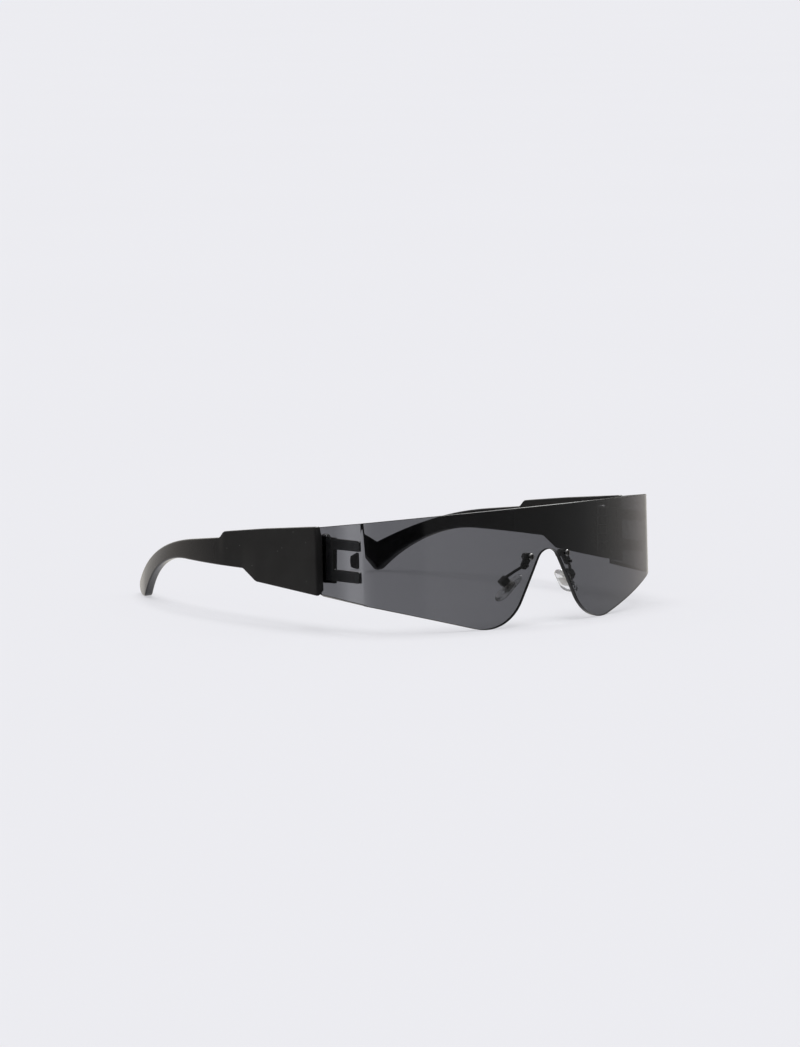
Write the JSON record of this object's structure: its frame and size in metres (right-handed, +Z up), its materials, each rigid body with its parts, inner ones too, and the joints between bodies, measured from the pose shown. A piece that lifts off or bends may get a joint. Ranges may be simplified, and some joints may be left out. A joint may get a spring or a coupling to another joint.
{
  "type": "shield sunglasses",
  "caption": "Rimless wraparound shield sunglasses: a dark one-piece lens folded at its corners, wide stepped temples on barrel hinges, and clear nose pads on wire arms.",
  "frame": {"origin": "on the resting surface, under the middle of the opened glasses", "axes": "+X towards the wearer's left, +Y from the lens back along the temples, +Z up"},
  "size_m": [0.1468, 0.1574, 0.0408],
  "materials": {
    "lens_tint": "smoke grey polycarbonate, polished",
    "black_metal": "thin black coating, semi-gloss",
    "temple_black": "black moulded nylon, satin panel and glossy arm",
    "screw_steel": "turned steel",
    "pad_silicone": "clear silicone",
    "insert_metal": "stamped steel, dull"
  },
  "bodies": {
    "front": {"shield_lens": "lens_tint", "left_end_plate": "black_metal", "left_front_leaf": "black_metal", "left_hinge_screw": "screw_steel", "left_pad_arm": "black_metal", "left_lens_screw": "screw_steel", "left_lens_nut": "screw_steel", "left_pad_screw": "screw_steel", "right_end_plate": "black_metal", "right_front_leaf": "black_metal", "right_hinge_screw": "screw_steel", "right_pad_arm": "black_metal", "right_lens_screw": "screw_steel", "right_lens_nut": "screw_steel", "right_pad_screw": "screw_steel"},
    "left_arm": {"left_temple": "temple_black", "left_rear_leaf": "black_metal"},
    "right_arm": {"right_temple": "temple_black", "right_rear_leaf": "black_metal"},
    "left_pad": {"left_nose_pad": "pad_silicone", "left_pad_insert": "insert_metal"},
    "right_pad": {"right_nose_pad": "pad_silicone", "right_pad_insert": "insert_metal"}
  },
  "joints": [
    {"name": "left_temple_fold", "type": "hinge", "parent": "front", "child": "left_arm", "pos_m": [0.06543, -0.0374, 0.0241], "axis": [0, 0, 1], "range_deg": [0, 92]},
    {"name": "right_temple_fold", "type": "hinge", "parent": "front", "child": "right_arm", "pos_m": [-0.06543, -0.0374, 0.0241], "axis": [0, 0, -1], "range_deg": [0, 79]},
    {"name": "left_pad_rock", "type": "hinge", "parent": "front", "child": "left_pad", "pos_m": [0.0153, -0.07114, 0.0151], "axis": [-0.2663, 0.9632, 0.0375], "range_deg": [-8, 8]},
    {"name": "right_pad_rock", "type": "hinge", "parent": "front", "child": "right_pad", "pos_m": [-0.0153, -0.07114, 0.0151], "axis": [-0.2663, -0.9632, -0.0375], "range_deg": [-8, 8]}
  ]
}
